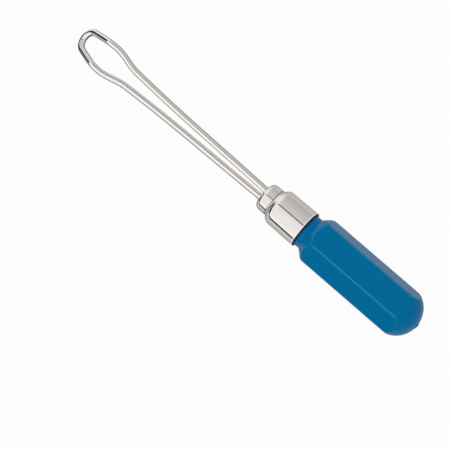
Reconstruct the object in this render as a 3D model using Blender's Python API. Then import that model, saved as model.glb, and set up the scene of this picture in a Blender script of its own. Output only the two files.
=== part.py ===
"""Loop ear pick: a bent wire loop, a stepped ferrule and a hexagonal moulded handle.

Metres, +Z up. The pick lies as it does on a table: its axis runs along X, with the loop's tip at -X
and the handle's ball end at +X. Its lowest point is at z = 0 and the origin is midway along it.
"""
import math

import bmesh
import bpy
from mathutils import Matrix, Vector

# Loop wire. Distances from the tip are measured along the axis on the wire laid flat, before the tip
# is bent down, and run to the wire's middle line. Widths are over the outside of the wire.
WIRE_DIAMETER = 0.0013
TIP_RADIUS = 0.00212
FLANK_ANGLE = math.radians(8.3)
LOOP_WIDTH = 0.00695
WIDEST_FROM_TIP = 0.00845
THROAT_WIDTH = 0.00477
THROAT_FROM_TIP = 0.01435
THROAT_TAPER = 0.062
LEG_GAP = 0.0003
LEG_TAPER = 0.0263
FREE_LENGTH = 0.0485
LEG_LENGTH_INSIDE = 0.0225
BEND_FROM_TIP = 0.0067
BEND_RADIUS = 0.002
TIP_BEND = math.radians(34.5)
LOOP_ROLL = math.radians(19.0)

# Ferrule, a thimble drawn from sheet, with a narrow nose and a wide body that flares towards its rim
NOSE_DIAMETER = 0.00576
NOSE_EDGE_RADIUS = 0.0011
NOSE_LENGTH = 0.0026
STEP_ANGLE = math.radians(47.0)
STEP_FILLET = 0.00045
STEP_SHOULDER = 0.0015
BODY_DIAMETER = 0.00775
BODY_FLARE = math.radians(0.8)
FERRULE_LENGTH = 0.01066
FERRULE_WALL = 0.0003

# Handle, moulded in one piece: a neck, a chamfered shoulder, six flats and a ball end with the nub
# that is left where the plastic was fed in
FLATS = 6
HANDLE_ACROSS_FLATS = 0.009
HANDLE_EDGE_RADIUS = 0.0007
HANDLE_LENGTH = 0.0265
BLANK_DIAMETER = 0.0102
BALL_RADIUS = 0.0053
GATE_DIAMETER = 0.0012
GATE_HEIGHT = 0.0001
SHOULDER_ANGLE = math.radians(41.5)
SHOULDER_RADIUS = 0.0017
NECK_EXPOSED = 0.00128
NECK_INSIDE = 0.0059
NECK_FILLET = 0.00015
NECK_LEAD_IN = 0.0003

# Clearance between pieces that seat on each other, and how far a cutter runs past what it cuts
SEAT_GAP = 0.0001
CUTTER_OVERRUN = 0.001

# Fineness: how far a facet may lie inside its true curve, and where two facets show as an edge
CURVE_ERROR = 0.000008
SHARP_ANGLE = math.radians(35.0)

# Sizes that follow from the ones above. x = 0 is the front of the ferrule's nose.
WIRE_RADIUS = WIRE_DIAMETER / 2
LEG_OFFSET = LEG_GAP / 2 + WIRE_RADIUS
NOSE_RADIUS = NOSE_DIAMETER / 2
BODY_RADIUS = BODY_DIAMETER / 2
BLANK_RADIUS = BLANK_DIAMETER / 2
NECK_FRONT = FERRULE_LENGTH - NECK_INSIDE
SHOULDER_START = FERRULE_LENGTH + NECK_EXPOSED
HANDLE_END = SHOULDER_START + HANDLE_LENGTH
BALL_END = HANDLE_END - GATE_HEIGHT
BEND_HALF_ARC = BEND_RADIUS * TIP_BEND / 2
QUARTER_TURN = math.pi / 2

for old in list(bpy.data.objects):
    bpy.data.objects.remove(old, do_unlink=True)


def material(name, colour, roughness, metallic):
    """A Principled material in one plain colour."""
    made = bpy.data.materials.new(name)
    made.use_nodes = True
    shader = made.node_tree.nodes["Principled BSDF"]
    shader.inputs["Base Color"].default_value = (*colour, 1.0)
    shader.inputs["Roughness"].default_value = roughness
    shader.inputs["Metallic"].default_value = metallic
    return made


def place(name, data, parent, finish=None, roll=0.0):
    """Puts a shape on the pick's axis, its own origin at the front of the ferrule's nose."""
    made = bpy.data.objects.new(name, data)
    bpy.context.scene.collection.objects.link(made)
    made.parent = parent
    made.rotation_euler.x = roll
    if finish:
        data.materials.append(finish)
    return made


def steps_for(radius, sweep):
    """How many straight pieces keep an arc within CURVE_ERROR of its true curve."""
    return math.ceil(abs(sweep) / (2 * math.acos(1 - CURVE_ERROR / radius)))


def arc(centre, radius, start, end):
    """Points along a circular arc, with its two angles measured from the first axis."""
    steps = steps_for(radius, end - start)
    turns = [start + (end - start) * k / steps for k in range(steps + 1)]
    return [(centre[0] + radius * math.cos(t), centre[1] + radius * math.sin(t)) for t in turns]


def finished_mesh(name, shape):
    """Turns a bmesh into a mesh with outward faces, smooth where it is round."""
    bmesh.ops.recalc_face_normals(shape, faces=shape.faces)
    data = bpy.data.meshes.new(name)
    shape.to_mesh(data)
    shape.free()
    data.shade_smooth()
    data.set_sharp_from_angle(angle=SHARP_ANGLE)
    return data


def turned(name, profile):
    """Turns a profile of (x, radius) about the X axis. It starts and ends on the axis."""
    shape = bmesh.new()
    points = [shape.verts.new((x, 0.0, r)) for x, r in profile]
    edges = [shape.edges.new(pair) for pair in zip(points, points[1:])]
    steps_a_quarter = steps_for(max(r for x, r in profile), QUARTER_TURN)
    bmesh.ops.spin(shape, geom=points + edges, axis=(1, 0, 0), cent=(0, 0, 0),
                   angle=math.tau, steps=4 * steps_a_quarter, use_merge=True)
    bmesh.ops.remove_doubles(shape, verts=shape.verts, dist=1e-7)
    return finished_mesh(name, shape)


def pushed_out(shape, face, vector):
    """Extrudes one face of a bmesh along a vector."""
    grown = bmesh.ops.extrude_face_region(shape, geom=[face])
    moved = [v for v in grown["geom"] if isinstance(v, bmesh.types.BMVert)]
    bmesh.ops.translate(shape, vec=vector, verts=moved)


def boolean(target, cutter, operation):
    """Cuts the target with the cutter, or keeps only what the two share."""
    cut = target.modifiers.new(cutter.name, "BOOLEAN")
    cut.operation = operation
    cut.object = cutter
    cut.solver = "EXACT"
    cutter.hide_render = True
    cutter.display_type = "WIRE"


# The wire's middle line: a round tip, two flanks that widen, a throat, and legs that close in
def smooth_run(start, end, steps=18):
    """Eases from start to end, each (distance, half width, slope), so that the slopes match."""
    reach = end[0] - start[0]
    run = []
    for k in range(1, steps + 1):
        t = k / steps
        half_width = ((2 * t**3 - 3 * t**2 + 1) * start[1] + (t**3 - 2 * t**2 + t) * reach * start[2]
                      + (3 * t**2 - 2 * t**3) * end[1] + (t**3 - t**2) * reach * end[2])
        run.append((start[0] + reach * t, half_width))
    return run


def half_loop():
    """One side of the wire laid flat, as (distance from the tip, half width)."""
    around_tip = arc((0.0, 0.0), TIP_RADIUS, 0.0, QUARTER_TURN - FLANK_ANGLE)
    tip = [(TIP_RADIUS - along, across) for along, across in around_tip]
    flank = (*tip[-1], math.tan(FLANK_ANGLE))
    widest = (WIDEST_FROM_TIP, LOOP_WIDTH / 2 - WIRE_RADIUS, 0.0)
    throat = (THROAT_FROM_TIP, THROAT_WIDTH / 2 - WIRE_RADIUS, -THROAT_TAPER)
    nose = (FREE_LENGTH, LEG_OFFSET, -LEG_TAPER)
    leg_end = (FREE_LENGTH + LEG_LENGTH_INSIDE, LEG_OFFSET)
    return (tip + smooth_run(flank, widest) + smooth_run(widest, throat)
            + smooth_run(throat, nose) + [leg_end])


def bent(distance, half_width):
    """Folds a point of the flat wire down at the bend near the tip."""
    before_bend = BEND_FROM_TIP + BEND_HALF_ARC - distance
    if before_bend <= 0:
        return Vector((distance - FREE_LENGTH, half_width, 0.0))
    turn = min(before_bend / BEND_RADIUS, TIP_BEND)
    straight = max(before_bend - 2 * BEND_HALF_ARC, 0.0)
    back = BEND_RADIUS * math.sin(turn) + straight * math.cos(turn)
    down = BEND_RADIUS * (1 - math.cos(turn)) + straight * math.sin(turn)
    return Vector((BEND_FROM_TIP + BEND_HALF_ARC - FREE_LENGTH - back, half_width, -down))


one_side = half_loop()
wire_line = [bent(s, w) for s, w in reversed(one_side)] + [bent(s, -w) for s, w in one_side[1:]]
loop_depth = WIRE_RADIUS - min((Matrix.Rotation(LOOP_ROLL, 3, "X") @ p).z for p in wire_line)
loop_reach = WIRE_RADIUS - min(p.x for p in wire_line)

# The pick rests on a flat of the handle and on the loop's bent tip
pick = bpy.data.objects.new("ear_pick", None)
bpy.context.scene.collection.objects.link(pick)
pick.location = ((loop_reach - HANDLE_END) / 2, 0.0, max(HANDLE_ACROSS_FLATS / 2, loop_depth))

# Loop wire: one length of round wire, its two legs side by side
plated_wire = material("plated_wire", (0.80, 0.79, 0.78), roughness=0.06, metallic=1.0)
wire_curve = bpy.data.curves.new("loop_wire", "CURVE")
wire_curve.dimensions = "3D"
wire_curve.bevel_depth = WIRE_RADIUS
wire_curve.bevel_resolution = 6
wire_curve.use_fill_caps = True
wire_spline = wire_curve.splines.new("POLY")
wire_spline.points.add(len(wire_line) - 1)
for point, position in zip(wire_spline.points, wire_line):
    point.co = (*position, 1.0)
place("loop_wire", wire_curve, pick, plated_wire, roll=LOOP_ROLL)

# The channel that both legs lie in runs through the ferrule and the adhesive into the handle
channel_radius = WIRE_RADIUS + SEAT_GAP
channel_outline = (arc((LEG_OFFSET, 0.0), channel_radius, -QUARTER_TURN, QUARTER_TURN)
                   + arc((-LEG_OFFSET, 0.0), channel_radius, QUARTER_TURN, 3 * QUARTER_TURN))
channel_shape = bmesh.new()
channel_mouth = [channel_shape.verts.new((-CUTTER_OVERRUN, y, z)) for y, z in channel_outline]
channel_run = CUTTER_OVERRUN + LEG_LENGTH_INSIDE + SEAT_GAP
pushed_out(channel_shape, channel_shape.faces.new(channel_mouth), (channel_run, 0.0, 0.0))
leg_channel = place("leg_channel", finished_mesh("leg_channel", channel_shape), pick, roll=LOOP_ROLL)


def body_radius(x, inset):
    """The radius of the ferrule's flared body at x, on a surface inset from its outside."""
    return BODY_RADIUS - (FERRULE_LENGTH - x) * math.tan(BODY_FLARE) - inset / math.cos(BODY_FLARE)


def thimble(inset):
    """The ferrule's profile from the axis to its wide body, moved inwards by inset."""
    # The step's shoulder is where an arc touches both the flared body and the step's cone
    step_rise = body_radius(0.0, STEP_SHOULDER) - NOSE_RADIUS - STEP_FILLET
    shoulder_x = ((STEP_FILLET + STEP_SHOULDER + NOSE_LENGTH * math.sin(STEP_ANGLE)
                   + step_rise * math.cos(STEP_ANGLE))
                  / (math.sin(STEP_ANGLE) - math.cos(STEP_ANGLE) * math.tan(BODY_FLARE)))
    nose_edge = arc((NOSE_EDGE_RADIUS, NOSE_RADIUS - NOSE_EDGE_RADIUS), NOSE_EDGE_RADIUS - inset,
                    2 * QUARTER_TURN, QUARTER_TURN)
    fillet = arc((NOSE_LENGTH, NOSE_RADIUS + STEP_FILLET), STEP_FILLET + inset,
                 3 * QUARTER_TURN, 3 * QUARTER_TURN + STEP_ANGLE)
    shoulder = arc((shoulder_x, body_radius(shoulder_x, STEP_SHOULDER)), STEP_SHOULDER - inset,
                   QUARTER_TURN + STEP_ANGLE, QUARTER_TURN + BODY_FLARE)
    return [(inset, 0.0)] + nose_edge + fillet + shoulder


# Ferrule: its rim is rounded and its nose is pierced for the two legs
plated_sheet = material("plated_sheet", (0.78, 0.77, 0.75), roughness=0.08, metallic=1.0)
rim_radius = FERRULE_WALL / 2
rim_x = FERRULE_LENGTH - rim_radius
rim = arc((rim_x, body_radius(rim_x, rim_radius)), rim_radius,
          QUARTER_TURN + BODY_FLARE, BODY_FLARE - QUARTER_TURN)
ferrule_mesh = turned("ferrule", thimble(0.0) + rim + thimble(FERRULE_WALL)[::-1])
ferrule = place("ferrule", ferrule_mesh, pick, plated_sheet)
boolean(ferrule, leg_channel, "DIFFERENCE")

# Adhesive: fills the ferrule's nose as far as the handle's neck and locks the legs in it
cured_adhesive = material("cured_adhesive", (0.62, 0.52, 0.30), roughness=0.45, metallic=0.0)
adhesive_back = NECK_FRONT - SEAT_GAP
adhesive_mesh = turned("adhesive_plug", thimble(FERRULE_WALL + SEAT_GAP)
                       + [(adhesive_back, body_radius(adhesive_back, FERRULE_WALL + SEAT_GAP)),
                          (adhesive_back, 0.0)])
adhesive_plug = place("adhesive_plug", adhesive_mesh, pick, cured_adhesive)
boolean(adhesive_plug, leg_channel, "DIFFERENCE")

# Handle: a round blank with a neck that fits the flared ferrule, a shoulder and a ball end
blue_plastic = material("blue_plastic", (0.0, 0.12, 0.31), roughness=0.22, metallic=0.0)


def neck_radius(x):
    """The neck's radius, which is even where it stands out of the ferrule."""
    return body_radius(min(x, FERRULE_LENGTH), FERRULE_WALL + SEAT_GAP)


cone_bottom = neck_radius(SHOULDER_START) + NECK_FILLET
cone_top = BLANK_RADIUS - SHOULDER_RADIUS * (1 - math.cos(SHOULDER_ANGLE))
cone_length = (cone_top - cone_bottom) / math.tan(SHOULDER_ANGLE)
full_width_x = SHOULDER_START + cone_length + SHOULDER_RADIUS * math.sin(SHOULDER_ANGLE)
neck = [(NECK_FRONT, 0.0), (NECK_FRONT, neck_radius(NECK_FRONT) - NECK_LEAD_IN),
        (NECK_FRONT + NECK_LEAD_IN, neck_radius(NECK_FRONT + NECK_LEAD_IN)),
        (FERRULE_LENGTH, neck_radius(FERRULE_LENGTH))]
neck_fillet = arc((SHOULDER_START - NECK_FILLET, cone_bottom), NECK_FILLET,
                  3 * QUARTER_TURN, 4 * QUARTER_TURN)
shoulder = arc((full_width_x, BLANK_RADIUS - SHOULDER_RADIUS), SHOULDER_RADIUS,
               QUARTER_TURN + SHOULDER_ANGLE, QUARTER_TURN)
ball = arc((BALL_END - BALL_RADIUS, 0.0), BALL_RADIUS, math.asin(BLANK_RADIUS / BALL_RADIUS),
           math.asin(GATE_DIAMETER / 2 / BALL_RADIUS))
gate = [(HANDLE_END, GATE_DIAMETER / 2 - GATE_HEIGHT), (HANDLE_END, 0.0)]
handle_mesh = turned("handle", neck + neck_fillet + shoulder + ball + gate)
handle = place("handle", handle_mesh, pick, blue_plastic)

# Its flats: the blank keeps only what lies inside a hexagonal bar with rounded edges, so the shoulder
# and the ball end run into each flat along a curve, as on a nut
bar_shape = bmesh.new()
flat_turn = math.tau / FLATS
bar_corner = Vector((NECK_FRONT - CUTTER_OVERRUN, HANDLE_ACROSS_FLATS / 2 / math.cos(flat_turn / 2), 0.0))
bar_section = [bar_shape.verts.new(Matrix.Rotation(flat_turn * k, 3, "X") @ bar_corner)
               for k in range(FLATS)]
bar_length = HANDLE_END - NECK_FRONT + 2 * CUTTER_OVERRUN
pushed_out(bar_shape, bar_shape.faces.new(bar_section), (bar_length, 0.0, 0.0))
long_edges = [e for e in bar_shape.edges if abs((e.verts[0].co - e.verts[1].co).normalized().x) > 0.5]
bmesh.ops.bevel(bar_shape, geom=long_edges, offset=HANDLE_EDGE_RADIUS * math.tan(flat_turn / 2),
                offset_type="OFFSET", segments=5, profile=0.5, affect="EDGES", material=-1)
hexagon_bar = place("hexagon_bar", finished_mesh("hexagon_bar", bar_shape), pick)
boolean(handle, hexagon_bar, "INTERSECT")
boolean(handle, leg_channel, "DIFFERENCE")
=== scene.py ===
import math

import bmesh
import bpy
from mathutils import Matrix, Vector


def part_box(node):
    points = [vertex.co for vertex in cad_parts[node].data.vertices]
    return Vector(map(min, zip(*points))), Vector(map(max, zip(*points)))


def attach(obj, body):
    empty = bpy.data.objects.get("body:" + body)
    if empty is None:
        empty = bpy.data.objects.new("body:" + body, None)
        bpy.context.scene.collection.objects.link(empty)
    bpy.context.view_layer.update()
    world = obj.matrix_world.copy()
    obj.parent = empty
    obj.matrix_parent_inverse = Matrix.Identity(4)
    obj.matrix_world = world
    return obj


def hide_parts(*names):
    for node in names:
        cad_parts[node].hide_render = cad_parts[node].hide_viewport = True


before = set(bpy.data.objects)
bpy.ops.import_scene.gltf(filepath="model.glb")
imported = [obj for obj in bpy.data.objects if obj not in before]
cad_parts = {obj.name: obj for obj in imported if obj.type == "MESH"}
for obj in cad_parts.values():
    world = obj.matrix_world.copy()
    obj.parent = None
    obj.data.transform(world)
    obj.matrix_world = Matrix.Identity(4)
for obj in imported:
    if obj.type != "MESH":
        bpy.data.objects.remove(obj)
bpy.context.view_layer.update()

# Loop wire. One length of hard round steel wire, bright plated, bent round a peg into a narrow loop.
# The loop's tip is folded down, the loop is rolled a little from the handle's flats, and the two legs
# run side by side into the ferrule.
WIRE_DIAMETER = 0.0013
TIP_RADIUS = 0.00212
FLANK_ANGLE = math.radians(8.3)
LOOP_WIDTH = 0.00695
WIDEST_FROM_TIP = 0.00845
THROAT_WIDTH = 0.00477
THROAT_FROM_TIP = 0.01435
THROAT_TAPER = 0.062
LEG_GAP = 0.0003
LEG_TAPER = 0.0263
FREE_LENGTH = 0.0485
LEG_LENGTH_INSIDE = 0.0225
BEND_FROM_TIP = 0.0067
BEND_RADIUS = 0.002
TIP_BEND = math.radians(34.5)
LOOP_ROLL = math.radians(19.0)

wire_radius = WIRE_DIAMETER / 2
leg_offset = LEG_GAP / 2 + wire_radius
half_bend = BEND_RADIUS * TIP_BEND / 2

# The pick's axis, which starts at the front of the ferrule's nose
ferrule_low, ferrule_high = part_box("ferrule")
axis_start = Vector((ferrule_low.x, 0.0, (ferrule_low.z + ferrule_high.z) / 2))
on_axis = Matrix.Translation(axis_start)
rolled = on_axis @ Matrix.Rotation(LOOP_ROLL, 4, "X")


def arc(centre, radius, start, end, steps):
    """Points along a circular arc, with its two angles in degrees from the first axis."""
    turns = [math.radians(start + (end - start) * k / steps) for k in range(steps + 1)]
    return [(centre[0] + radius * math.cos(t), centre[1] + radius * math.sin(t)) for t in turns]


def smooth_run(start, end, steps):
    """Eases from start to end, each (distance, half width, slope), so that the slopes match."""
    reach = end[0] - start[0]
    run = []
    for k in range(1, steps + 1):
        t = k / steps
        half_width = ((2 * t**3 - 3 * t**2 + 1) * start[1] + (t**3 - 2 * t**2 + t) * reach * start[2]
                      + (3 * t**2 - 2 * t**3) * end[1] + (t**3 - t**2) * reach * end[2])
        run.append((start[0] + reach * t, half_width))
    return run


def bent(distance, half_width):
    """Folds a point of the flat wire down at the bend near the tip."""
    before_bend = BEND_FROM_TIP + half_bend - distance
    turn = min(max(before_bend, 0.0) / BEND_RADIUS, TIP_BEND)
    straight = max(before_bend - 2 * half_bend, 0.0)
    back = BEND_RADIUS * math.sin(turn) + straight * math.cos(turn) + min(before_bend, 0.0)
    down = BEND_RADIUS * (1 - math.cos(turn)) + straight * math.sin(turn)
    return Vector((BEND_FROM_TIP + half_bend - FREE_LENGTH - back, half_width, -down))


tip = [(TIP_RADIUS - along, across)
       for along, across in arc((0.0, 0.0), TIP_RADIUS, 0.0, 90.0 - math.degrees(FLANK_ANGLE), 36)]
widest = (WIDEST_FROM_TIP, LOOP_WIDTH / 2 - wire_radius, 0.0)
throat = (THROAT_FROM_TIP, THROAT_WIDTH / 2 - wire_radius, -THROAT_TAPER)
nose = (FREE_LENGTH, leg_offset, -LEG_TAPER)
one_side = (tip + smooth_run((*tip[-1], math.tan(FLANK_ANGLE)), widest, 60)
            + smooth_run(widest, throat, 45) + smooth_run(throat, nose, 60)
            + [(FREE_LENGTH + LEG_LENGTH_INSIDE, leg_offset)])
wire_line = [bent(s, w) for s, w in reversed(one_side)] + [bent(s, -w) for s, w in one_side[1:]]

wire_curve = bpy.data.curves.new("bent_wire", "CURVE")
wire_curve.dimensions = "3D"
wire_curve.bevel_depth = wire_radius
wire_curve.bevel_resolution = 12
wire_curve.use_fill_caps = True
wire_spline = wire_curve.splines.new("POLY")
wire_spline.points.add(len(wire_line) - 1)
for point, position in zip(wire_spline.points, wire_line):
    point.co = (*(rolled @ position), 1.0)
wire_spline.use_smooth = True
bent_wire = bpy.data.objects.new("bent_wire", wire_curve)
bpy.context.scene.collection.objects.link(bent_wire)


class Shade:
    """A socket of a shader. Sums and products of it add Math nodes to its node tree."""

    def __init__(self, tree, socket=None):
        self.tree = tree
        self.socket = socket

    def node(self, kind, settings=(), inputs=(), output=0):
        """Adds a node: its settings are made first, then its sockets get their values or links."""
        made = self.tree.nodes.new("ShaderNode" + kind)
        for name, value in dict(settings).items():
            setattr(made, name, value)
        for name, value in dict(inputs).items():
            if isinstance(value, Shade):
                self.tree.links.new(value.socket, made.inputs[name])
            else:
                made.inputs[name].default_value = value
        return Shade(self.tree, made.outputs[output])

    def maths(self, operation, *others):
        """This value, and any others, put through one Math node."""
        return self.node("Math", {"operation": operation}, enumerate((self, *others)))

    def __add__(self, other):
        return self.maths("ADD", other)

    def __sub__(self, other):
        return self.maths("SUBTRACT", other)

    def __rsub__(self, other):
        return self * -1 + other

    def __mul__(self, other):
        return self.maths("MULTIPLY", other)

    def __truediv__(self, other):
        return self.maths("DIVIDE", other)

    __radd__ = __add__
    __rmul__ = __mul__

    def clamped(self):
        """This value, kept from 0 to 1."""
        return self.node("Clamp", (), {"Value": self})

    def rising(self, start, end):
        """0 before start, 1 past end, and even in between."""
        return ((self - start) / (end - start)).clamped()

    def above(self, limit, softness):
        """1 where this value is over the limit and 0 under it, with a soft edge."""
        return ((self - limit) / softness + 0.5).clamped()

    def close_to(self, centre, width, softness):
        """1 within half the width of the centre, with soft edges."""
        return ((width / 2 - (self - centre).maths("ABSOLUTE")) / softness + 0.5).clamped()

    def blend(self, low, high):
        """A colour from low to high as this value goes from 0 to 1."""
        return self.node("Mix", {"data_type": "RGBA"}, {0: self, 6: low, 7: high}, 2)

    def noise(self, where, stretch, detail, roughness=0.5):
        """Soft noise from 0 to 1, with its grain's fineness along each axis, per metre."""
        spread = self.node("Mapping", (), {"Vector": where, "Scale": stretch})
        return self.node("TexNoise", (), {"Vector": spread, "Scale": 1.0, "Detail": detail,
                                          "Roughness": roughness})


def finish(name, piece):
    """A new node material on a piece: the Shade to build on, its shader, and Object coordinates."""
    made = bpy.data.materials.new(name)
    made.use_nodes = True
    shader = made.node_tree.nodes["Principled BSDF"]
    if piece.data.materials:
        piece.data.materials[0] = made
    else:
        piece.data.materials.append(made)
    shade = Shade(made.node_tree)
    return shade, shader, shade.node("TexCoord", output="Object")


def connect(shader, **values):
    """Links shades to a shader's sockets, or sets plain values on them."""
    for name, value in values.items():
        socket = shader.inputs[name.replace("_", " ")]
        if isinstance(value, Shade):
            value.tree.links.new(value.socket, socket)
        else:
            socket.default_value = value


# Plating: faint die lines along the wire, and cloudy spots where fingers have dulled it. Reflections are
# painted on it as lines: a dark one on top of each leg, a grey one on its outer side, and a dark one that
# winds round the tip.
DIE_LINE_GRAIN = (70.0, 3600.0, 3600.0)
FINGER_MARK_GRAIN = (260.0, 260.0, 260.0)
PLATING = (0.95, 0.94, 0.93, 1.0)
HANDLED_PLATING = (0.99, 0.98, 0.97, 1.0)
TOP_REFLECTION_COLOUR = (0.12, 0.11, 0.11, 1.0)
OUTER_REFLECTION_COLOUR = (0.50, 0.49, 0.48, 1.0)
TIP_REFLECTION_COLOUR = (0.08, 0.08, 0.09, 1.0)

# Each painted reflection's place, width and softness are in turns round the wire, outwards from its top.
# Along the wire, its own UV map goes from 0 at the +Y leg's end over 0.5 at the tip to 1 at the other
# leg's end. The top reflection lies a little towards +Y on both legs, so it crosses over at the tip.
WIRE_TOP = 0.1607
TOP_REFLECTION = (-0.0165, 0.026, 0.012)
TOP_REFLECTION_SLANT = 0.0475
TOP_REFLECTION_CROSSING = 20.0
OUTER_REFLECTION = (0.150, 0.050, 0.03)
TIP_REFLECTION = (0.02, 0.07, 0.02)
TIP_REFLECTION_WINDING = 0.7
TIP_REFLECTION_REACH = (0.0, 0.16, 0.02)

shade, shader, where = finish("plated_wire", bent_wire)
die_lines = shade.noise(where, DIE_LINE_GRAIN, detail=2.0)
handled = shade.noise(where, FINGER_MARK_GRAIN, detail=3.0, roughness=0.6)
wire_uv = shade.node("UVMap", {"uv_map": "UVMap"})
from_tip = shade.node("SeparateXYZ", (), {0: wire_uv}, "X") - 0.5
outward = shade.node("SeparateXYZ", (), {0: wire_uv}, "Y") - WIRE_TOP
which_leg = (from_tip * -TOP_REFLECTION_CROSSING).maths("MINIMUM", 1.0).maths("MAXIMUM", -1.0)
# The dark top and tip lines and the grey outer line are painted reflections.
painted_top_reflection = (outward - which_leg * TOP_REFLECTION_SLANT).close_to(*TOP_REFLECTION)
painted_outer_reflection = outward.close_to(*OUTER_REFLECTION)
painted_tip_reflection = (outward - from_tip * TIP_REFLECTION_WINDING).close_to(*TIP_REFLECTION)
painted_tip_reflection = painted_tip_reflection * from_tip.close_to(*TIP_REFLECTION_REACH)
plating = handled.blend(PLATING, HANDLED_PLATING)
plating = painted_outer_reflection.blend(plating, OUTER_REFLECTION_COLOUR)
plating = painted_top_reflection.blend(plating, TOP_REFLECTION_COLOUR)
plating = painted_tip_reflection.blend(plating, TIP_REFLECTION_COLOUR)
connect(shader, Metallic=1.0, Base_Color=plating,
        Roughness=0.015 + 0.02 * die_lines + 0.03 * handled,
        Normal=shade.node("Bump", (), {"Height": die_lines, "Strength": 0.03, "Distance": 0.00002}))
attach(bent_wire, "root")
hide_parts("loop_wire")

# Ferrule. A thimble deep drawn from thin sheet in two steps, then bright plated: a narrow pierced nose
# that grips the wire's legs, a coned step, and a body that flares to a rounded rim round the neck.
NOSE_DIAMETER = 0.00576
NOSE_EDGE_RADIUS = 0.0011
NOSE_LENGTH = 0.0026
STEP_ANGLE = 47.0
STEP_FILLET = 0.00045
STEP_SHOULDER = 0.0015
BODY_DIAMETER = 0.00775
BODY_FLARE = 0.8
FERRULE_LENGTH = 0.01066
FERRULE_WALL = 0.0003
LEG_CLEARANCE = 0.0001
MERGE_DISTANCE = 1e-7
SHARP_ANGLE = math.radians(32)

step_lean = math.radians(STEP_ANGLE)
flare = math.radians(BODY_FLARE)


def body_radius(x, inset):
    """The radius of the ferrule's flared body at x, on a surface inset from its outside."""
    return BODY_DIAMETER / 2 - (FERRULE_LENGTH - x) * math.tan(flare) - inset / math.cos(flare)


def thimble(inset):
    """The ferrule's profile from the axis to its wide body, moved inwards by inset."""
    # The step's shoulder is where an arc touches both the flared body and the step's cone
    step_rise = body_radius(0.0, STEP_SHOULDER) - NOSE_DIAMETER / 2 - STEP_FILLET
    shoulder_run = (STEP_FILLET + STEP_SHOULDER + NOSE_LENGTH * math.sin(step_lean)
                    + step_rise * math.cos(step_lean))
    shoulder_x = shoulder_run / (math.sin(step_lean) - math.cos(step_lean) * math.tan(flare))
    return ([(inset, 0.0)]
            + arc((NOSE_EDGE_RADIUS, NOSE_DIAMETER / 2 - NOSE_EDGE_RADIUS), NOSE_EDGE_RADIUS - inset,
                  180.0, 90.0, 24)
            + arc((NOSE_LENGTH, NOSE_DIAMETER / 2 + STEP_FILLET), STEP_FILLET + inset,
                  270.0, 270.0 + STEP_ANGLE, 12)
            + arc((shoulder_x, body_radius(shoulder_x, STEP_SHOULDER)), STEP_SHOULDER - inset,
                  90.0 + STEP_ANGLE, 90.0 + BODY_FLARE, 20))


def turned(profile, steps):
    """A bmesh turned from a profile of (x, radius) about the X axis."""
    shape = bmesh.new()
    points = [shape.verts.new((x, 0.0, r)) for x, r in profile]
    edges = [shape.edges.new(pair) for pair in zip(points, points[1:])]
    bmesh.ops.spin(shape, geom=points + edges, axis=(1, 0, 0), cent=(0, 0, 0),
                   angle=math.tau, steps=steps, use_merge=True)
    bmesh.ops.remove_doubles(shape, verts=shape.verts, dist=MERGE_DISTANCE)
    bmesh.ops.recalc_face_normals(shape, faces=shape.faces)
    return shape


def piece_of(name, shape, place):
    """An object at the origin that holds a bmesh in its place."""
    bmesh.ops.transform(shape, matrix=place, verts=shape.verts)
    data = bpy.data.meshes.new(name)
    shape.to_mesh(data)
    shape.free()
    data.shade_smooth()
    made = bpy.data.objects.new(name, data)
    bpy.context.scene.collection.objects.link(made)
    return made


def cut_for_legs(piece):
    """Cuts the channel that both legs lie in, as wide as the two, out of a piece."""
    channel = bmesh.new()
    outline = (arc((leg_offset, 0.0), wire_radius + LEG_CLEARANCE, -90.0, 90.0, 24)
               + arc((-leg_offset, 0.0), wire_radius + LEG_CLEARANCE, 90.0, 270.0, 24))
    mouth = channel.faces.new([channel.verts.new((-WIRE_DIAMETER, y, z)) for y, z in outline])
    grown = bmesh.ops.extrude_face_region(channel, geom=[mouth])
    bmesh.ops.translate(channel, verts=[v for v in grown["geom"] if isinstance(v, bmesh.types.BMVert)],
                        vec=(WIRE_DIAMETER + LEG_LENGTH_INSIDE + LEG_CLEARANCE, 0.0, 0.0))
    bmesh.ops.recalc_face_normals(channel, faces=channel.faces)
    cutter = piece_of("leg_channel", channel, rolled)
    cut = piece.modifiers.new("leg_channel", "BOOLEAN")
    cut.object = cutter
    cut.operation = "DIFFERENCE"
    cut.solver = "EXACT"
    seen = piece.evaluated_get(bpy.context.evaluated_depsgraph_get())
    whole = piece.data
    piece.data = bpy.data.meshes.new_from_object(seen)
    piece.modifiers.clear()
    piece.data.set_sharp_from_angle(angle=SHARP_ANGLE)
    bpy.data.meshes.remove(whole)
    bpy.data.objects.remove(cutter)


rim_x = FERRULE_LENGTH - FERRULE_WALL / 2
rim = arc((rim_x, body_radius(rim_x, FERRULE_WALL / 2)), FERRULE_WALL / 2,
          90.0 + BODY_FLARE, BODY_FLARE - 90.0, 16)
thimble_shape = turned(thimble(0.0) + rim + thimble(FERRULE_WALL)[::-1], steps=180)
thimble_shell = piece_of("drawn_ferrule", thimble_shape, on_axis)
cut_for_legs(thimble_shell)

# Plating on the sheet: draw lines along the body, a haze of finger marks, and a painted dark reflection in
# the step.
# The rim swells to a slight bead, with a painted highlight on a duller band and a painted shadow at its
# edge.
DRAW_LINE_GRAIN = (120.0, 2400.0, 2400.0)
HAZE_GRAIN = (420.0, 420.0, 420.0)
SHEET_PLATING = (0.89, 0.88, 0.86, 1.0)
STEP_REFLECTION_COLOUR = (0.33, 0.33, 0.34, 1.0)
RIM_HIGHLIGHT_COLOUR = (1.0, 1.0, 1.0, 1.0)
RIM_SHADOW_COLOUR = (0.02, 0.02, 0.03, 1.0)

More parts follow.
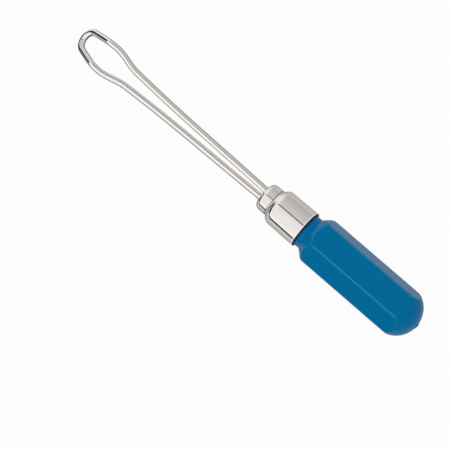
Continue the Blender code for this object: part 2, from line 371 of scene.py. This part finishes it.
# Each band's place along the ferrule, its width where it has two edges, and their softness
STEP_REFLECTION_BAND = (NOSE_LENGTH - 0.00005, 0.00025, 0.0001)
RIM_HIGHLIGHT_BAND = (FERRULE_LENGTH - 0.00047, 0.0003, 0.00008)
BEAD_RISE = (FERRULE_LENGTH - 0.00047, 0.0003)
RIM_SHADOW_EDGE = (FERRULE_LENGTH - 0.0003, 0.00008)

shade, shader, where = finish("plated_sheet", thimble_shell)
along = shade.node("SeparateXYZ", (), {0: where}, "X") - axis_start.x
draw_lines = shade.noise(where, DRAW_LINE_GRAIN, detail=2.0)
haze = shade.noise(where, HAZE_GRAIN, detail=3.0, roughness=0.6)
# A dark reflection is painted in the step.
painted_step_reflection = along.close_to(*STEP_REFLECTION_BAND)
# A highlight is painted on the rim's band, which is also duller.
painted_rim_highlight = along.close_to(*RIM_HIGHLIGHT_BAND)
relief = 0.01 * draw_lines + 0.3 * along.above(*BEAD_RISE)
plating = painted_step_reflection.blend(SHEET_PLATING, STEP_REFLECTION_COLOUR)
plating = painted_rim_highlight.blend(plating, RIM_HIGHLIGHT_COLOUR)
# A shadow is painted at the rim's edge, where it meets the neck.
plating = along.above(*RIM_SHADOW_EDGE).blend(plating, RIM_SHADOW_COLOUR)
connect(shader, Metallic=1 - 0.6 * painted_rim_highlight, Base_Color=plating,
        Roughness=0.05 + 0.03 * draw_lines + 0.05 * haze + 0.12 * painted_step_reflection + 0.05 * painted_rim_highlight,
        Normal=shade.node("Bump", (), {"Height": relief, "Strength": 1.0, "Distance": 0.0001}))
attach(thimble_shell, "root")
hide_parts("ferrule")

# Adhesive. A two-part resin that fills the ferrule's nose behind the pierced front and sets hard round
# the legs. It is poured, so it holds small bubbles and cloudy swirls.
SWIRL_GRAIN = (700.0, 700.0, 700.0)
BUBBLES_PER_METRE = 2400.0
CLEAR_RESIN = (0.52, 0.41, 0.20, 1.0)
CLOUDY_RESIN = (0.70, 0.61, 0.40, 1.0)

shade, shader, where = finish("cured_adhesive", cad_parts["adhesive_plug"])
swirls = shade.noise(where, SWIRL_GRAIN, detail=4.0, roughness=0.6)
from_bubble = shade.node("TexVoronoi", (), {"Vector": where, "Scale": BUBBLES_PER_METRE})
bubbles = 1 - from_bubble.above(limit=0.18, softness=0.1)
connect(shader, Base_Color=swirls.blend(CLEAR_RESIN, CLOUDY_RESIN), Roughness=0.32 + 0.25 * swirls,
        Normal=shade.node("Bump", {"invert": True},
                          {"Height": bubbles, "Strength": 0.4, "Distance": 0.00005}))

# Handle. One injection moulding in glossy blue plastic: a round neck that plugs into the ferrule, a
# chamfered shoulder, six flats with eased edges, and a ball end with the nub where the plastic was fed in.
# The flats run out into the shoulder and the ball along soft curves, as on a nut.
HANDLE_ACROSS_FLATS = 0.009
HANDLE_EDGE_RADIUS = 0.0007
HANDLE_LENGTH = 0.0265
BLANK_DIAMETER = 0.0102
BALL_RADIUS = 0.0053
GATE_DIAMETER = 0.0012
GATE_HEIGHT = 0.0001
SHOULDER_ANGLE = 41.5
SHOULDER_RADIUS = 0.0017
NECK_EXPOSED = 0.00128
NECK_INSIDE = 0.0059
NECK_FILLET = 0.00015
NECK_LEAD_IN = 0.0003
NECK_CLEARANCE = 0.0001
FLAT_RUN_OUT = 0.00008
CONE_STEPS = 16
EDGE_CROWDING = 0.6

neck_front = FERRULE_LENGTH - NECK_INSIDE
shoulder_start = FERRULE_LENGTH + NECK_EXPOSED
handle_end = shoulder_start + HANDLE_LENGTH
ball_end = handle_end - GATE_HEIGHT
blank_radius = BLANK_DIAMETER / 2
shoulder_lean = math.radians(SHOULDER_ANGLE)


def neck_radius(x):
    """The neck's radius, which is even where it stands out of the ferrule."""
    return body_radius(min(x, FERRULE_LENGTH), FERRULE_WALL + NECK_CLEARANCE)


neck = [(neck_front, 0.0), (neck_front, neck_radius(neck_front) - NECK_LEAD_IN),
        (neck_front + NECK_LEAD_IN, neck_radius(neck_front + NECK_LEAD_IN)),
        (FERRULE_LENGTH, neck_radius(FERRULE_LENGTH))]
cone_bottom = neck_radius(FERRULE_LENGTH) + NECK_FILLET
cone_top = blank_radius - SHOULDER_RADIUS * (1 - math.cos(shoulder_lean))
cone_length = (cone_top - cone_bottom) / math.tan(shoulder_lean)
full_width_x = shoulder_start + cone_length + SHOULDER_RADIUS * math.sin(shoulder_lean)
cone = [(shoulder_start + cone_length * k / CONE_STEPS,
         cone_bottom + (cone_top - cone_bottom) * k / CONE_STEPS) for k in range(1, CONE_STEPS)]
ball_starts = math.degrees(math.asin(blank_radius / BALL_RADIUS))
ball_stops = math.degrees(math.asin(GATE_DIAMETER / 2 / BALL_RADIUS))
fillet = arc((shoulder_start - NECK_FILLET, cone_bottom), NECK_FILLET, 270.0, 360.0, 6)
shoulder = arc((full_width_x, blank_radius - SHOULDER_RADIUS), SHOULDER_RADIUS,
               90.0 + SHOULDER_ANGLE, 90.0, 28)
ball = arc((ball_end - BALL_RADIUS, 0.0), BALL_RADIUS, ball_starts, ball_stops, 100)
gate = arc((ball_end, GATE_DIAMETER / 2 - GATE_HEIGHT), GATE_HEIGHT, 90.0, 0.0, 6)
handle_shape = turned(neck + fillet + cone + shoulder + ball + gate + [(handle_end, 0.0)], steps=300)

# The turned blank is kept only inside a hexagonal bar with rounded edges
flat_distance = HANDLE_ACROSS_FLATS / 2
sixth = math.radians(60)
half_sixth = sixth / 2
edge_centre = (flat_distance - HANDLE_EDGE_RADIUS) / math.cos(half_sixth)
edge_starts = math.atan((flat_distance - HANDLE_EDGE_RADIUS) * math.tan(half_sixth) / flat_distance)
for v in handle_shape.verts:
    reach = math.hypot(v.co.y, v.co.z)
    if v.co.x < shoulder_start:
        continue
    # The turned points crowd towards the six edges, where the surface curves most
    turn = math.atan2(v.co.z, v.co.y)
    middle = (math.floor(turn / sixth) + 0.5) * sixth
    share = (turn - middle) / half_sixth
    crowded = (1 - EDGE_CROWDING) * share + EDGE_CROWDING * math.sin(share * math.pi / 2)
    off_middle = crowded * half_sixth
    turn = middle + off_middle
    if abs(off_middle) < edge_starts:
        hexagon = flat_distance / math.cos(off_middle)
    else:
        from_edge = half_sixth - abs(off_middle)
        hexagon = (edge_centre * math.cos(from_edge)
                   + math.sqrt(HANDLE_EDGE_RADIUS**2 - (edge_centre * math.sin(from_edge))**2))
    overlap = max(FLAT_RUN_OUT - abs(reach - hexagon), 0.0)
    reach = min(reach, hexagon) - overlap**2 / (4 * FLAT_RUN_OUT)
    v.co.y = reach * math.cos(turn)
    v.co.z = reach * math.sin(turn)
moulded_handle = piece_of("moulded_handle", handle_shape, on_axis)
cut_for_legs(moulded_handle)

# Moulded plastic: pigment that isn't quite even, a skin with the mould's polish, and scuffs from use.
# Highlights are painted lighter along the six edges, and a little also along the curves where the flats
# run out into the shoulder.
PIGMENT_GRAIN = (180.0, 500.0, 500.0)
SKIN_GRAIN = (900.0, 900.0, 900.0)
SCUFF_GRAIN = (900.0, 5200.0, 5200.0)
PIGMENT = (0.0, 0.174, 0.406, 1.0)
PALER_PIGMENT = (0.0, 0.194, 0.447, 1.0)
EDGE_HIGHLIGHT_COLOUR = (0.06, 0.36, 0.66, 1.0)
BLUE_GLOSS = (0.05, 0.45, 1.0, 1.0)
EDGE_HIGHLIGHT_REACH = (0.00507, 0.00001)
EDGE_HIGHLIGHT_SHARE = 0.7
RUN_OUT_LINE = (cone_bottom, 0.0002, 0.0001)
RUN_OUT_HIGHLIGHT_SHARE = 0.3

shade, shader, where = finish("blue_plastic", moulded_handle)
along = shade.node("SeparateXYZ", (), {0: where}, "X") - axis_start.x
across = shade.node("SeparateXYZ", (), {0: where}, "Y")
upward = shade.node("SeparateXYZ", (), {0: where}, "Z") - axis_start.z
reach = (across * across + upward * upward).maths("SQRT")
flat_reach = upward.maths("ABSOLUTE")
for side in (math.sin(sixth), -math.sin(sixth)):
    flat_reach = flat_reach.maths("MAXIMUM", (across * side + upward * math.cos(sixth)).maths("ABSOLUTE"))
on_cone = (reach - (along - shoulder_start) * math.tan(shoulder_lean)).close_to(*RUN_OUT_LINE)
run_out_highlight = on_cone * flat_reach.above(flat_distance - FLAT_RUN_OUT, FLAT_RUN_OUT)
# Highlights are painted lighter along the six edges and the flats' run-out curves.
painted_highlights = (EDGE_HIGHLIGHT_SHARE * reach.above(*EDGE_HIGHLIGHT_REACH) + RUN_OUT_HIGHLIGHT_SHARE * run_out_highlight).clamped()
uneven = shade.noise(where, PIGMENT_GRAIN, detail=3.0, roughness=0.55)
skin = shade.noise(where, SKIN_GRAIN, detail=2.0)
scuffs = shade.noise(where, SCUFF_GRAIN, detail=2.0).above(limit=0.66, softness=0.08)
connect(shader, Base_Color=painted_highlights.blend(uneven.blend(PIGMENT, PALER_PIGMENT), EDGE_HIGHLIGHT_COLOUR),
        Roughness=0.10 + 0.05 * skin + 0.10 * scuffs, Specular_Tint=BLUE_GLOSS, IOR=1.49,
        Normal=shade.node("Bump", (), {"Height": skin, "Strength": 0.05, "Distance": 0.00004}))
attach(moulded_handle, "root")
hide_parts("handle")

# Studio. A white sheet to lie on and a wide softbox, with a camera that looks down on the pick. These
# are the directions along the pick, across it, and of the picture's own sides, as seen from there.
TOWARDS_CAMERA = Vector((0.156, -0.222, 0.963)).normalized()
SLANT = math.radians(40.955)

down_the_pick = (Vector((1, 0, 0)) - TOWARDS_CAMERA * TOWARDS_CAMERA.x).normalized()
across_the_pick = TOWARDS_CAMERA.cross(down_the_pick)
picture_right = math.cos(SLANT) * down_the_pick + math.sin(SLANT) * across_the_pick
picture_up = math.cos(SLANT) * across_the_pick - math.sin(SLANT) * down_the_pick

# What the plating mirrors, painted on the world. The softbox hangs from just past the camera down to a
# dark gap over the near edge of the sheet, brighter low down. Over the loop's half, a dark seam parts it
# from the grey wall on the far side. Another wall stands past the handle.
SOFTBOX = (0.93, 0.89, 0.87, 1.0)
SOFTBOX_EDGE = (0.83, 0.79, 0.79, 1.0)
SOFTBOX_LAMP = (1.04, 1.01, 0.98, 1.0)
WALL_TOP = (0.67, 0.66, 0.64, 1.0)
WALL_FOOT = (0.47, 0.46, 0.43, 1.0)
BACK_SHEET = (0.58, 0.56, 0.54, 1.0)
FRONT_SHEET = (0.72, 0.71, 0.70, 1.0)
END_WALL = (0.45, 0.45, 0.45, 1.0)
GAP = (0.03, 0.03, 0.03, 1.0)
WHITE = (1.0, 1.0, 1.0, 1.0)

# Angles in degrees from the camera, across the pick towards the near side. Each pair is where a colour
# starts and ends changing, or an edge and its softness, and three are a middle, a width and a softness.
WALL_CHANGES = (-98.0, -13.0)
SOFTBOX_CHANGES = (-8.0, 22.0)
LAMP_CHANGES = (60.0, 80.0)
WALL_STARTS = (-98.0, 4.0)
SOFTBOX_STARTS = (-10.5, 2.0)
FRONT_SHEET_STARTS = (97.0, 3.0)
SEAM_ACROSS = (-10.5, 6.0, 1.5)
NEAR_GAP = (94.5, 12.5, 2.0)

# The same along the pick, towards the handle
END_WALL_STARTS = (48.0, 3.0)
SEAM_ALONG = (-25.0, 60.0, 10.0)

# The same as leans, from -1 to 1: towards the camera, the near side, the loop or the handle
HORIZON = (0.0, 0.03)
LIGHT_LOOP_SIDE = (0.45, 0.8)
LIGHT_NEAR_SIDE = (0.05, 0.1)
LIGHT_HEIGHT = (-0.75, 0.3)
GREY_HANDLE_SIDE = (0.25, 0.1)
GREY_HEIGHT = (-0.33, 0.66, 0.05)
END_GAP_LOOP_SIDE = (0.75, 0.1)
END_GAP_BOTTOM = (-0.14, 0.08)
END_GAP_TOP = (0.08, 0.06)
END_GAP_SLANT = 0.75
END_GAP_FADES = ((-0.17, 0.12), (0.02, 0.16))

world = bpy.data.worlds.new("studio")
world.use_nodes = True
bpy.context.scene.world = world
shade = Shade(world.node_tree)
looking = shade.node("TexCoord", output="Generated")


def leaning(direction):
    """How far the line of sight leans in a direction, from -1 to 1."""
    return shade.node("VectorMath", {"operation": "DOT_PRODUCT"}, {0: looking, 1: direction}, "Value")


height = leaning(TOWARDS_CAMERA)
near_side = leaning(across_the_pick) * -1
loop_side = leaning(down_the_pick) * -1
handle_side = loop_side * -1
nearby = near_side.maths("ARCTAN2", height) * (180 / math.pi)
endways = handle_side.maths("ARCTAN2", height) * (180 / math.pi)

# The wall, the softbox, the end wall, and the sheet behind and in front
wall = nearby.rising(*WALL_CHANGES).blend(WALL_FOOT, WALL_TOP)
softbox = nearby.rising(*SOFTBOX_CHANGES).blend(SOFTBOX_EDGE, SOFTBOX)
softbox = nearby.rising(*LAMP_CHANGES).blend(softbox, SOFTBOX_LAMP)
painted = nearby.above(*SOFTBOX_STARTS).blend(wall, softbox)
painted = (endways.above(*END_WALL_STARTS) * height.above(*HORIZON)).blend(painted, END_WALL)
painted = nearby.above(*WALL_STARTS).blend(BACK_SHEET, painted)
painted = nearby.above(*FRONT_SHEET_STARTS).blend(painted, FRONT_SHEET)

# Past the loop it is light, apart from the near side, and past the handle it is grey under the horizon
past_loop = loop_side.rising(*LIGHT_LOOP_SIDE) * (1 - near_side.above(*LIGHT_NEAR_SIDE))
painted = (past_loop * height.above(*LIGHT_HEIGHT)).blend(painted, SOFTBOX)
past_handle = handle_side.above(*GREY_HANDLE_SIDE) * height.close_to(*GREY_HEIGHT)
painted = past_handle.blend(painted, END_WALL)

# The seam and the near gap are dark. So is a gap along the horizon past the loop, which reaches lower on
# the near side and fades out on the far side.
painted = (nearby.close_to(*SEAM_ACROSS) * endways.close_to(*SEAM_ALONG)).blend(painted, GAP)
painted = nearby.close_to(*NEAR_GAP).blend(painted, GAP)
end_gap = (height + near_side * END_GAP_SLANT).above(*END_GAP_BOTTOM) * (1 - height.above(*END_GAP_TOP))
end_gap = end_gap * (0.5 * near_side.above(*END_GAP_FADES[0]) + 0.5 * near_side.above(*END_GAP_FADES[1]))
painted = (end_gap * loop_side.above(*END_GAP_LOOP_SIDE)).blend(painted, GAP)
seen_directly = shade.node("LightPath", output="Is Camera Ray")
background = world.node_tree.nodes["Background"]
connect(background, Color=seen_directly.blend(painted, WHITE), Strength=1.0)

# Sheet. Matt white card, which shows almost white and keeps a soft shadow. Mirrors see on it only a
# painted shadow, a dark strip under the pick, and for the rest the studio's painted sheet.
SHEET_HALF_SIZE = 1.5
SHEET_GLOW = 0.95
FIBRE_GRAIN = (900.0, 900.0, 900.0)
CARD = (0.90, 0.90, 0.90, 1.0)
CARD_FIBRES = (0.93, 0.93, 0.93, 1.0)
BLACK = (0.0, 0.0, 0.0, 1.0)
SHADOW_REACH = (0.0455, 0.002)
SHADOW_WIDTH = 0.005
SHADOW_DEPTH = 0.85

sheet_shape = bmesh.new()
bmesh.ops.create_grid(sheet_shape, x_segments=1, y_segments=1, size=SHEET_HALF_SIZE)
white_sheet = piece_of("white_sheet", sheet_shape, Matrix.Identity(4))
shade, shader, where = finish("white_card", white_sheet)
fibres = shade.noise(where, FIBRE_GRAIN, detail=2.0)
connect(shader, Base_Color=fibres.blend(CARD, CARD_FIBRES), Roughness=0.9, Specular_IOR_Level=0.0)
paper = Shade(shade.tree, shader.outputs[0])
glow = shade.node("Emission", (), {"Color": WHITE, "Strength": 1.0})
seen = shade.node("LightPath", output="Is Camera Ray")
lit = shade.node("MixShader", (), {0: SHEET_GLOW * seen, 1: paper, 2: glow})
from_middle = shade.node("SeparateXYZ", (), {0: where}, "X").maths("ABSOLUTE")
off_axis = shade.node("SeparateXYZ", (), {0: where}, "Y") / SHADOW_WIDTH
# A painted shadow under the pick, seen only in mirrors.
under_pick = SHADOW_DEPTH * (1 - from_middle.above(*SHADOW_REACH))
under_pick = under_pick * (off_axis * off_axis + 1).maths("POWER", -1.0)
shadow = shade.node("Emission", (), {"Color": BLACK})
mirrored = shade.node("MixShader", (), {0: under_pick, 1: shade.node("BsdfTransparent"), 2: shadow})
in_mirror = shade.node("LightPath", output="Is Glossy Ray")
card = shade.node("MixShader", (), {0: in_mirror, 1: lit, 2: mirrored})
shade.tree.links.new(card.socket, shade.tree.nodes["Material Output"].inputs[0])

# Camera. A long lens above the pick, half a metre away, turned so that the pick lies aslant in the
# picture. Blender's own sensor and lens are in millimetres.
CAMERA_DISTANCE = 0.5
PICTURE_WIDTH = 0.08546
SENSOR_WIDTH = 0.036
MILLIMETRES = 1000
NOSE_IN_PICTURE = (0.00740, 0.00587)

aim = axis_start - picture_right * NOSE_IN_PICTURE[0] - picture_up * NOSE_IN_PICTURE[1]
camera = bpy.data.objects.new("camera", bpy.data.cameras.new("camera"))
bpy.context.scene.collection.objects.link(camera)
camera.data.sensor_width = SENSOR_WIDTH * MILLIMETRES
camera.data.lens = SENSOR_WIDTH * CAMERA_DISTANCE / PICTURE_WIDTH * MILLIMETRES
camera.data.clip_start = 0.01
camera.matrix_world = (Matrix.Translation(aim + TOWARDS_CAMERA * CAMERA_DISTANCE)
                       @ Matrix((picture_right, picture_up, TOWARDS_CAMERA)).transposed().to_4x4())
bpy.context.scene.camera = camera
bpy.context.scene.view_settings.view_transform = "Standard"
